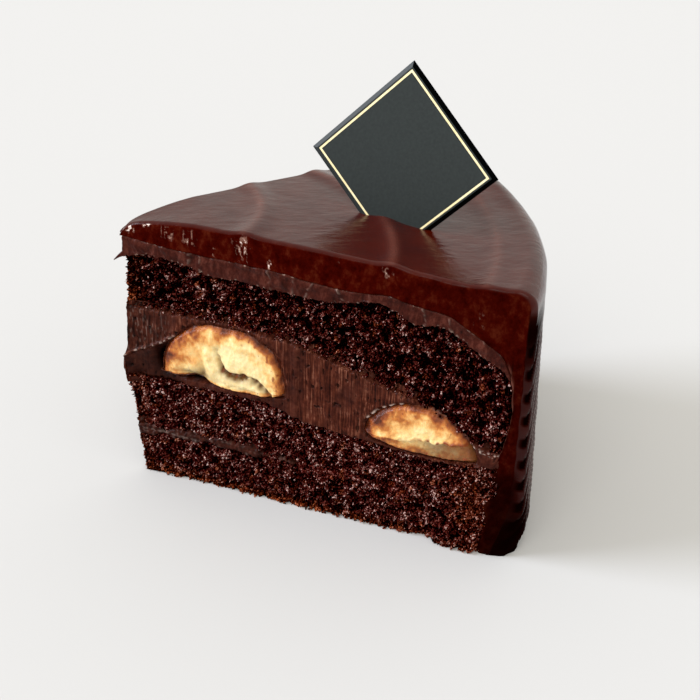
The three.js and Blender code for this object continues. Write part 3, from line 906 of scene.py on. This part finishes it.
def fudge_piece(name, node, floor, top, relief_at, steps_up):
    bm = unit_block(440, 10, steps_up)
    calms = bm.verts.layers.float.new("calm")
    pales = bm.verts.layers.float.new("pale")
    deeps = bm.verts.layers.float.new("deep")
    for vert in bm.verts:
        u, v, w = vert.co
        turn = 2 * v - 1
        z0, z1 = floor(0.0, turn), top(0.0, turn)
        r = mix(TIP_SETBACK(mix(z0, z1, w)), CORE_RADIUS, u)
        z = mix(floor(r, turn) - FUDGE_UNDERLAP, top(r, turn) + FUDGE_UNDERLAP, w)
        proud = calm = pale = deep = 0.0
        if at_cut(turn):
            proud, calm, pale, deep = relief_at(r, turn, z)
            r += 0.25 * soft(z / 2, r / 3, 2) * (1 - u)
        elif u < 0.001:
            r += 0.4 * soft(z / 1.5, turn * 2, 3)
        vert.co = slice_point(r, turn, z, proud)
        vert[calms], vert[pales], vert[deeps] = calm, pale, deep
    return finish_piece(name, bm, FUDGE, "fudge", node)


fudge_piece("filling_spread", "fudge_filling", filling_floor, filling_top, filling_relief, 100)
fudge_piece("thin_spread", "fudge_thin", thin_fudge_floor, thin_fudge_top, thin_relief, 30)


# Frosting

# Folds on the front cut, as (distance, height) points
FROSTING_FOLDS = [
    [(18.6, 66.4), (18.0, 63.2)],
    [(21.5, 66), (21.2, 62)],
    [(39.5, 66), (39.8, 60.5)],
    [(46.0, 65.4), (45.3, 60.5)],
    [(50.5, 65), (48.8, 60.6)],
    [(56.9, 64.4), (57.9, 62.5), (59.7, 61)],
    [(64.4, 64.6), (64.7, 62)],
    [(77.6, 63.8), (78.4, 60.2), (77.5, 58.6)],
    [(84.0, 63.2), (84.1, 60.2), (85.3, 58.2), (87.6, 56.6)],
    [(92, 58.4), (93.4, 55), (94, 53.4)],
]
TAG_ROOT = (3.0, 64.6)
TAG_END = (-1.9, 61.6)
TAG_TURN = -0.6


def frosting_folds(r, turn, z):
    """How near a place on a cut is to a fold that the knife left in the frosting."""
    if turn > 0:
        fold = (1 - clamp(abs(soft((r + 0.1 * (z - 62)) / 6.5, z / 12, 4)) * 11)) ** 2
        return fold * smoothstep(soft(r / 5, z / 2.5, 7), -0.1, 0.35)
    bent = r + 0.7 * soft(r / 3, z / 1.8, 2)
    gap = min(off_trail(bent, z, fold)[0] for fold in FROSTING_FOLDS)
    return hill(gap, 0.24) * smoothstep(soft(r / 2, z / 1.2, 7), -0.25, 0.3)


def frosting_floor(r, turn):
    """The lower edge of the frosting, which is ragged on a cut."""
    if not at_cut(turn):
        return sponge_top(r, turn)
    ragged = 0.6 * soft(r / 1.5, turn * 3, 4) + 0.6 * soft(r / 0.6, turn * 3, 14)
    if turn < 0:
        return FROSTING_EDGE(r) + 0.7 * ragged
    return sponge_top(r, turn) + 1.3 * soft(r / 4.2, turn * 3, 9) + ragged - 0.5


def frosting_relief(r, turn, z, floor, roof):
    """Relief and pale share of the frosting on a cut face; the pale share paints highlights on the
    folds, along the lower lip and along the seam under the ganache.
    """
    slant = r + 2.6 * soft(r / 9, z / 5, turn + 11) + 0.1 * (z - 62)
    drag = soft(slant / 0.9, z / 8, turn)
    fold = frosting_folds(r, turn, z)
    lip = hill(z - floor - 0.15, 0.35)
    relief = 0.5 + 0.18 * drag + 0.4 * fold + 0.6 * soft(r / 3, z / 2.4, turn)
    relief += 0.25 * lip - 1.5 * (1 - smoothstep(z - floor, -0.1, 0.5))
    relief -= 0.3 * (1 - smoothstep(roof - z, 0.0, 0.6))
    pale = 0.14 * fold + 0.8 * lip * smoothstep(soft(r / 0.8, z, 12), 0.26, 0.4)
    seam = smoothstep(soft(r / 1.1, 3, turn) + 0.5 * soft(r / 0.4, 8, turn), 0.1, 0.4)
    seam *= smoothstep(soft(r / 7, 1, 2), -0.25, 0.3)
    return relief, clamp(pale + 0.55 * hill(roof - z - 0.15, 0.14) * seam)


def frosting_piece():
    bm = unit_block(440, 10, 44)
    pales = bm.verts.layers.float.new("pale")
    for vert in bm.verts:
        u, v, w = vert.co
        turn = 2 * v - 1
        r = mix(TIP_SETBACK(65), FROSTING_RADIUS, u)
        floor = frosting_floor(r, turn)
        roof = ganache_floor(r, turn) + 0.1
        z = mix(min(floor, roof - 0.3), roof, w)
        proud = pale = 0.0
        if at_cut(turn):
            proud, pale = frosting_relief(r, turn, z, floor, roof)
            r += 0.3 * soft(z / 2, r / 3, 2) * (1 - u)
        vert.co = slice_point(r, turn, z, proud)
        vert[pales] = pale
    return finish_piece("frosting_coat", bm, FROSTING, "frosting", "frosting")


def frosting_tag():
    """The torn tag of frosting that sticks out at the tip and hangs down."""
    bm = bmesh.new()
    bmesh.ops.create_cone(bm, cap_ends=True, segments=14, radius1=1.0, radius2=0.12, depth=1.0)
    bmesh.ops.subdivide_edges(bm, edges=bm.edges, cuts=3, use_grid_fill=True)
    bm.verts.layers.float.new("pale")
    for vert in bm.verts:
        x, y, z = vert.co
        t = z + 0.5
        r = mix(TAG_ROOT[0], TAG_END[0], t) + 0.4 * y + 0.3 * soft(x * 2, y * 2, z * 3)
        height = mix(TAG_ROOT[1], TAG_END[1], t**1.3) + x * mix(2.0, 0.9, t)
        vert.co = slice_point(r, TAG_TURN, height, y)
    return finish_piece("frosting_tag", bm, FROSTING, "frosting")


frosting_piece()
frosting_tag()


# Ganache

OUTER_RIM = (0.55, 0.6)  # shares of the coat's length between which its outer face turns down
INNER_RIM = 0.57
INNER_RADIUS = 99.4


def ganache_outer(share, turn):
    """A place on the outer face of the ganache, from the tip at 0 to the foot of the side at 1."""
    rim = RADIUS - SHOULDER
    leave, arrive = OUTER_RIM
    if share < leave:
        r = mix(0.2, rim, share / leave)
        return r, ganache_top(r, turn)
    if share < arrive:
        corner = (share - leave) / (arrive - leave) * math.pi / 2
        top, side = ganache_top(rim, turn), ganache_side(SIDE_HEIGHT, turn)
        return mix(rim, side, math.sin(corner)), mix(SIDE_HEIGHT, top, math.cos(corner))
    z = SIDE_HEIGHT * (1 - (share - arrive) / (1 - arrive))
    return ganache_side(z, turn) - foot_pull(z, turn), z


def ganache_inner(share, turn, on_cut):
    """The matching place on its inner face, which laps over the crumb a little on a cut."""
    if share < INNER_RIM:
        r = mix(0.2, INNER_RADIUS, share / INNER_RIM)
        return r, ganache_floor(r, turn)
    z = mix(ganache_floor(INNER_RADIUS, turn), 0.0, (share - INNER_RIM) / (1 - INNER_RIM))
    bulge = CORE_BULGE * math.sin(math.pi * smoothstep(z, 22, 60))
    lap_over = 0.0
    if on_cut:
        foot = 1 - smoothstep(z, 22, 30)
        lap_over = 0.4 + 0.4 * soft(z / 3, turn, 2)
        lap_over += foot * (0.9 + 1.8 * soft(z / 5, turn, 5) + 1.4 * soft(z / 1.6, turn, 8))
        lap_over += 3.2 * smoothstep(16 - z, 0, 3)
    return CORE_RADIUS - 0.2 + bulge - lap_over, z


def ganache_relief(r, turn, z, w):
    """How far the cut face of the ganache stands out."""
    fine = 0.16 * soft(r / 0.9, z / 3, turn + 4) * (1 - smoothstep(w, 0.75, 0.95))
    relief = 0.3 + 0.3 * soft(r / 5, z / 9, turn) + fine
    side = smoothstep(58 - z, 0, 6)
    foot = 1 - smoothstep(z, 22, 30)
    relief += (0.2 + 0.35 * side * (1 - foot)) * hill(w, 0.06)
    relief -= 1.1 * side * (1 - smoothstep(w, 0.0, 0.05))
    relief -= 1.3 * foot * (1 - smoothstep(w, 0.0, 0.45))
    relief += 0.3 * foot * soft(r / 1.4, z / 1.4, turn + 7)
    return relief - 0.2 * smoothstep(w, 0.9, 1.0) ** 2


# Pale marks of the knife on the cut ganache, partly painted sheen, with painted white glints where
# strongest: distance, height, width, tallness and strength
SMEARS_AND_GLINTS = [
    (12.3, 71.0, 2.6, 2.2, 1.3),
    (18.9, 70, 3.0, 2.6, 1.3),
    (32.5, 70, 2.6, 4.0, 1.5),
    (25.1, 67.8, 0.6, 1.2, 2.4),
    (39.7, 67.4, 0.55, 1.1, 2.4),
    (56.5, 70.4, 2.0, 1.8, 0.8),
    (69.6, 70.3, 3.0, 2.0, 1.0),
    (92, 62.5, 4.0, 3.0, 0.8),
    (2.6, 70.2, 1.6, 1.4, 2.6),
    (7.4, 72.2, 1.4, 1.0, 2.6),
]


def smear_and_glint_share(r, z, turn):
    """How strongly the pale marks of the knife show on the cut ganache, partly as painted sheen; the
    strongest become painted white glints.
    """
    patches = sum(
        much * hill(r - at, wide) * hill(z - up, tall) for at, up, wide, tall, much in SMEARS_AND_GLINTS
    )
    torn = smoothstep(soft(r / 0.55, z / 1.6, turn + 6) + 0.5 * soft(r / 0.3, z / 0.5, 2), -0.25, 0.2)
    return patches * torn + 0.5 * smoothstep(soft(r / 2.5, z / 5, turn), 0.0, 0.5)


def ganache_cut_look(r, turn, z, w):
    """Cut, shade and ring shares of the ganache on a cut face: painted shade towards the right and the
    lower right, and a painted highlight line (the ring share) along the lip beside the top sponge.
    """
    cut = 1 - 0.5 * smoothstep(w, 0.96, 1.0)
    low = 0.85 * smoothstep(34 - z, 0, 14) * smoothstep(r, 88, 98)
    side = 0.4 * smoothstep(r, 84, 98) * smoothstep(60 - z, 0, 8)
    lip = smoothstep(54 - z, 0, 3) * smoothstep(z, 27, 31) * hill(w - 0.05, 0.035)
    ring = lip * (0.9 + 0.7 * soft(z / 2, 3, turn))
    return cut, max(low, side, 0.16 * smoothstep(r, 60, 90)), ring


def ring_light(r, turn):
    """How much of the pale light on the near slopes of the rings a place on the top has."""
    light = 0.0
    for front, back, height in RINGS:
        off = r - mix(front, back, (turn + 1) / 2) + 0.6
        light += 0.45 * height * hill(off, 1.2) * (0.7 + 0.6 * soft(turn * 3, r / 9, 4))
    return light


def side_shade(z, turn):
    """How dark the outer side is, in painted shade: in the comb's hollows, beside the cuts and at the
    foot; beside the cuts below the rim it also paints a dark reflection.
    """
    from_cut = along_side(turn)
    hollow = smoothstep(comb_hollow(z, turn), 0.25, 0.85)
    below_rim = smoothstep(70 - z, 0, 5)
    corner = (1 - smoothstep(from_cut, 4, 30)) * below_rim
    dark = 0.62 * hollow + corner * (0.22 + 0.3 * hollow + 0.5 * hill(z - 62, 8))
    dark += 0.5 * smoothstep(22 - z, 0, 14) * corner
    return dark + 0.25 * (1 - smoothstep(from_cut, 2, 12)) * below_rim


def side_wobble(z, turn):
    """Slow unevenness of the outer side, which is greatest at its foot."""
    foot = 0.5 * smoothstep(24 - z, 0, 20) * soft(z / 5, turn * 9, 7)
    return foot + 0.2 * soft(z / 4, turn * 7, 17)


def ganache_piece():
    bm = unit_block(396, 98, 20)
    cuts = bm.verts.layers.float.new("cut")
    smears_and_glints = bm.verts.layers.float.new("smear_and_glint")
    shades = bm.verts.layers.float.new("shade")
    rings = bm.verts.layers.float.new("ring")
    for vert in bm.verts:
        u, v, w = vert.co
        even = 2 * v - 1
        turn = even * (1.3 - 0.3 * even * even)  # the steps are closer beside the cuts
        on_cut = at_cut(even)
        outer, inner = ganache_outer(u, turn), ganache_inner(u, turn, on_cut)
        r, z = mix(inner[0], outer[0], w), mix(inner[1], outer[1], w)
        proud = cut = smear_and_glint = shade = ring = 0.0
        if on_cut:
            proud = ganache_relief(r, turn, z, w)
            smear_and_glint = smear_and_glint_share(r, z, turn)
            cut, shade, ring = ganache_cut_look(r, turn, z, w)
        elif w > 0.999 and u < OUTER_RIM[1]:
            cut = 0.5 * edge_share(r, turn)
            z += 0.04 * soft(r / 5, turn * r / 6, 3)
            ring = ring_light(r, turn)
        if w > 0.8 and u >= 0.58:
            shade = max(shade, side_shade(z, turn) * smoothstep(w, 0.8, 1.0))
            if not on_cut:
                r += side_wobble(z, turn)
        vert.co = slice_point(r, turn, max(0.0, z), proud)
        vert[cuts], vert[smears_and_glints], vert[shades], vert[rings] = cut, smear_and_glint, clamp(shade), clamp(ring)
    return finish_piece("ganache_coat", bm, GANACHE, "ganache", "ganache")


ganache_piece()


# Card

CARD_SIDE = 33.9
CARD_THICKNESS = 0.8
CARD_BEVEL = 1.4  # its edges slope back over about this width, by this depth
CARD_BEVEL_DEPTH = 0.55
CARD_ALONG = 62.2  # place of its middle along the front cut, behind it and above the table
CARD_DEPTH = 27.1
CARD_HEIGHT = 86.8
CARD_TURN = math.radians(-4)
CARD_LEAN = math.radians(10)
LINE_INSET = 1.4
LINE_WIDTH = 0.5
LINE_THICKNESS = 0.06
LINE_PROUD = 0.04


def card_matrix():
    """Stands the card on one corner in the top of the slice."""
    angle = math.atan2(CARD_DEPTH, CARD_ALONG) - SLICE_ANGLE / 2
    reach = math.hypot(CARD_ALONG, CARD_DEPTH)
    place = Vector(
        (TIP.x + reach * math.cos(angle), TIP.y + reach * math.sin(angle), CARD_HEIGHT)
    )
    heading = Matrix.Rotation(CARD_TURN - SLICE_ANGLE / 2, 4, "Z")
    lean = Matrix.Rotation(-CARD_LEAN, 4, "X")
    diamond = Matrix.Rotation(math.pi / 4, 4, "Y")
    return Matrix.Scale(MM, 4) @ Matrix.Translation(place) @ heading @ lean @ diamond


def card_board():
    bm = bmesh.new()
    bmesh.ops.create_cube(bm, size=1.0)
    bmesh.ops.scale(bm, vec=(CARD_SIDE, CARD_THICKNESS, CARD_SIDE), verts=bm.verts)
    front = [f for f in bm.faces if f.normal.y < -0.5]
    bmesh.ops.inset_region(bm, faces=front, thickness=CARD_BEVEL)
    edges = bm.faces.layers.float.new("edge")
    # Only the bevel faces on the right-hand edges get the edge share, which paints shade there.
    for face in bm.faces:
        middle = face.calc_center_median()
        face[edges] = float(max(middle.x, middle.z) > CARD_SIDE / 2 - CARD_BEVEL)
    near_edge = CARD_SIDE / 2 - 0.1
    outline = [v for v in bm.verts if v.co.y < 0 and max(abs(v.co.x), abs(v.co.z)) > near_edge]
    bmesh.ops.translate(bm, vec=(0, CARD_BEVEL_DEPTH, 0), verts=outline)
    bm.transform(card_matrix())
    finish_piece("card_board", bm, CARD, "card", "card", smooth=False)


def card_line():
    """The thin border on the front of the card."""
    bm = bmesh.new()
    bmesh.ops.create_grid(bm, x_segments=1, y_segments=1, size=CARD_SIDE / 2 - LINE_INSET)
    middle = bm.faces[:]
    bmesh.ops.inset_region(
        bm, faces=middle, thickness=LINE_WIDTH, use_boundary=True, use_even_offset=True
    )
    bmesh.ops.delete(bm, geom=middle, context="FACES")
    bmesh.ops.rotate(bm, matrix=Matrix.Rotation(math.pi / 2, 3, "X"), verts=bm.verts)
    bmesh.ops.translate(bm, vec=(0, -CARD_THICKNESS / 2 - LINE_PROUD, 0), verts=bm.verts)
    bmesh.ops.solidify(bm, geom=bm.faces[:], thickness=LINE_THICKNESS)
    bm.transform(card_matrix())
    finish_piece("card_line", bm, GOLD, "gold_line", smooth=False)


card_board()
card_line()


# Loose crumbs on the cut faces

CRUMB_SEED = 7
CRUMB_COUNT = 1800
CRUMB_SIZE = (0.14, 0.34)


def crumb_zone(draw):
    """A place where crumbs cling: in the sponge, and sometimes dragged over the edge of a fudge."""
    turn = draw.choice((-1.0, 1.0))
    r = draw.uniform(3.0, 97.0)
    layers = [
        (table_height(r, turn), thin_fudge_floor(r, turn)),
        (thin_fudge_top(r, turn), filling_floor(r, turn)),
        (filling_top(r, turn), sponge_top(r, turn) - 0.8),
    ]
    low, high = draw.choice(layers)
    return turn, r, draw.uniform(low - 0.4, high + 0.4)


def loose_crumbs():
    """One joined mesh of crumbs, each a dented copy of the same small ball."""
    draw = random.Random(CRUMB_SEED)
    ball = bmesh.new()
    bmesh.ops.create_icosphere(ball, subdivisions=2, radius=1)
    ball.verts.index_update()
    ball_points = [vert.co.copy() for vert in ball.verts]
    ball_faces = [[vert.index for vert in face.verts] for face in ball.faces]
    ball.free()
    bm = bmesh.new()
    tints = bm.verts.layers.float.new("tint")
    lit_oranges = bm.verts.layers.float.new("lit_orange")
    for _ in range(CRUMB_COUNT):
        turn, r, z = crumb_zone(draw)
        size = draw.uniform(*CRUMB_SIZE)
        z = max(z, size)
        centre = slice_point(r, turn, z, draw.uniform(-0.4, 0.15)) / MM
        stretch = Vector((draw.uniform(0.6, 1.6), draw.uniform(0.6, 1.2), draw.uniform(0.6, 1.6)))
        seed = Vector((draw.uniform(0, 99), draw.uniform(0, 99), draw.uniform(0, 99)))
        tint = draw.uniform(0.1, 0.6)
        # The loose crumbs get the same painted light of thin, lit crumb.
        lit_orange = lit_orange_share(r, z)
        made = []
        for point in ball_points:
            rough = 1 + 0.9 * noise.noise(point * 1.3 + seed) + 0.5 * noise.noise(point * 3 + seed)
            place = centre + point * stretch * size * rough
            place.z = max(place.z, 0.0)
            vert = bm.verts.new(place * MM)
            vert[tints] = clamp(tint + 0.3 * noise.noise(point * 2 - seed))
            vert[lit_oranges] = lit_orange
            made.append(vert)
        for corners in ball_faces:
            bm.faces.new([made[k] for k in corners])
    return finish_piece("loose_crumbs", bm, SPONGE, "chocolate_sponge")


loose_crumbs()


# Setting

CAMERA_PLACE = Vector((-33.9, -285.6, 191.5)) * MM
CAMERA_DOWN = math.radians(28.7)
CAMERA_AZIMUTH = math.radians(-7.67)
CAMERA_ROLL = math.radians(1.36)
CAMERA_LENS = 64.8
KEY_FROM = Vector((-0.885, 0.126, 0.449))
KEY_STRENGTH = 2.75
KEY_ANGLE = math.radians(30)
KEY_TINT = (0.96, 1.01, 1.14)
SOFT_TINT = (1.0, 0.97, 0.9)
FILL_FROM = Vector((-0.222, -0.711, 0.667))
FILL_STRENGTH = 1.22
FILL_ANGLE = math.radians(50)
WORLD_STRENGTH = 0.875
FLOOR_TONE = 0.59
FLOOR_REACH = 5  # in metres, from its middle to its edges


def add_camera():
    data = bpy.data.cameras.new("camera")
    data.lens = CAMERA_LENS
    camera = bpy.data.objects.new("camera", data)
    heading = Euler((math.pi / 2 - CAMERA_DOWN, 0, CAMERA_AZIMUTH)).to_matrix()
    turn = heading @ Matrix.Rotation(CAMERA_ROLL, 3, "Z")
    camera.matrix_world = Matrix.Translation(CAMERA_PLACE) @ turn.to_4x4()
    bpy.context.scene.collection.objects.link(camera)
    bpy.context.scene.camera = camera


def add_floor():
    bm = bmesh.new()
    bmesh.ops.create_grid(bm, x_segments=2, y_segments=2, size=FLOOR_REACH)
    mesh = bpy.data.meshes.new("floor")
    bm.to_mesh(mesh)
    bm.free()
    finish = Finish("floor", 0.9, 0.1)
    finish.shader.inputs["Base Color"].default_value = (FLOOR_TONE, FLOOR_TONE, FLOOR_TONE, 1)
    mesh.materials.append(finish.material)
    floor = bpy.data.objects.new("floor", mesh)
    bpy.context.scene.collection.objects.link(floor)


def add_light(name, source, strength, angle, tint):
    data = bpy.data.lights.new(name, "SUN")
    data.energy = strength
    data.angle = angle
    data.color = tint
    light = bpy.data.objects.new(name, data)
    light.matrix_world = source.to_track_quat("Z", "Y").to_matrix().to_4x4()
    bpy.context.scene.collection.objects.link(light)


def add_world():
    world = bpy.data.worlds.new("studio")
    world.use_nodes = True
    world.node_tree.nodes["Background"].inputs["Color"].default_value = (*SOFT_TINT, 1)
    world.node_tree.nodes["Background"].inputs["Strength"].default_value = WORLD_STRENGTH
    bpy.context.scene.world = world


add_camera()
add_floor()
add_light("key", KEY_FROM, KEY_STRENGTH, KEY_ANGLE, KEY_TINT)
add_light("fill", FILL_FROM, FILL_STRENGTH, FILL_ANGLE, SOFT_TINT)
add_world()
bpy.context.scene.view_settings.view_transform = "Standard"
